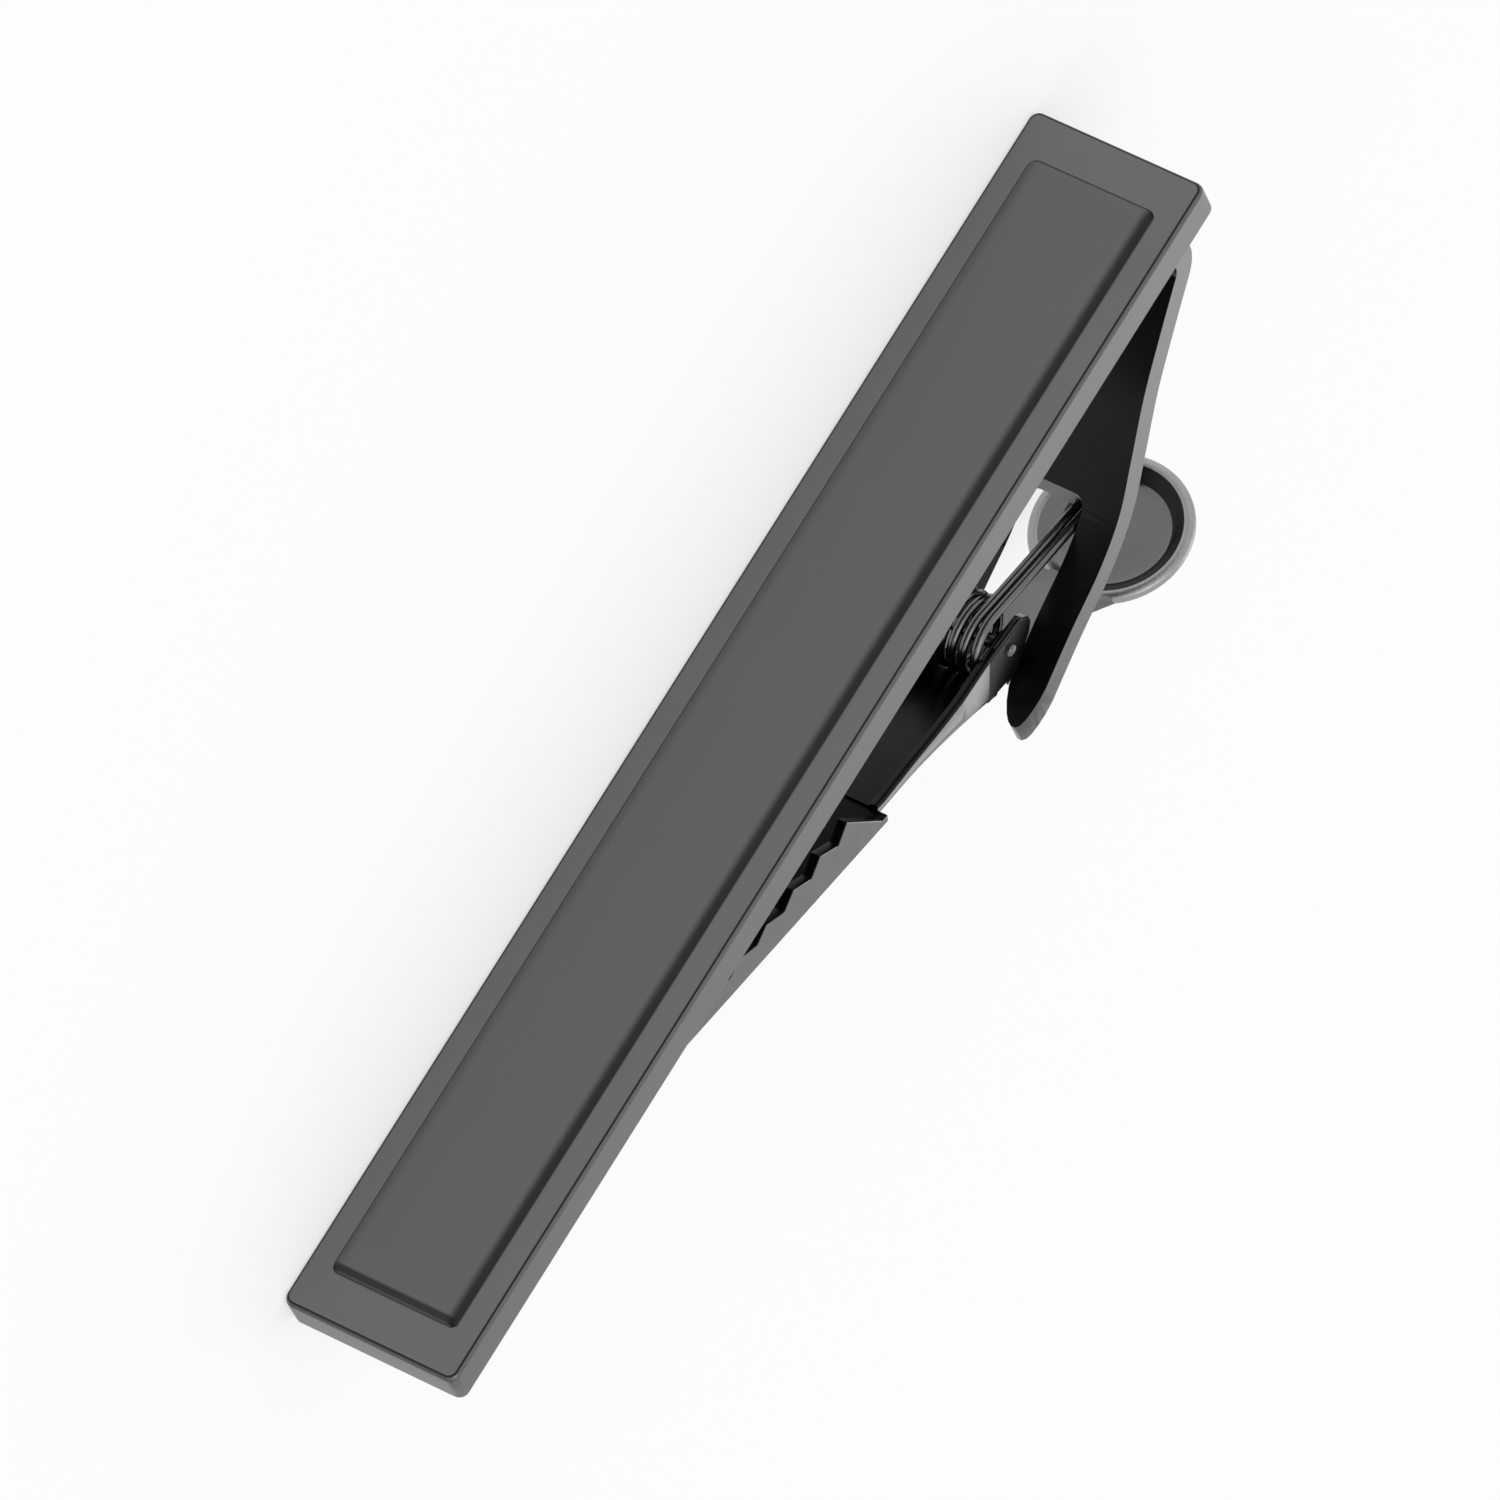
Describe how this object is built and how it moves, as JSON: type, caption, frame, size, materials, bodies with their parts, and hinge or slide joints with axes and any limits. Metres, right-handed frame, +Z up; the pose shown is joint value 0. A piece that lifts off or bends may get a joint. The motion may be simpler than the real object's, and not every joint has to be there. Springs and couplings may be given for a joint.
{
  "type": "tie_clip",
  "caption": "Steel tie clip with a raised-panel bar, a forked arm, and a sprung lever with a dished thumb pad and a toothed jaw.",
  "frame": {"origin": "middle of the raised panel's front face", "axes": "X along the bar to the jaw's tip, Y from front to back, Z up as worn"},
  "size_m": [0.06, 0.0199, 0.0086],
  "materials": {
    "bar_steel": "brushed along the bar",
    "solder": "dull cast",
    "arm_steel": "plated, bright",
    "pin_steel": "plated, bright",
    "lever_steel": "plated, bright",
    "spring_wire": "drawn wire"
  },
  "bodies": {
    "root": {"front_bar": "bar_steel", "solder_joint": "solder", "arm": "arm_steel", "pivot_pin": "pin_steel", "torsion_spring": "spring_wire"},
    "lever_body": {"lever": "lever_steel"}
  },
  "joints": [
    {"name": "jaw_hinge", "type": "hinge", "parent": "root", "child": "lever_body", "pos_m": [-0.0122, 0.0128, 0], "axis": [0, 0, 1], "range_deg": [0, 22], "stiffness_Nm_per_rad": 0.02, "springref_deg": -34.38, "deforming": ["torsion_spring"]}
  ]
}
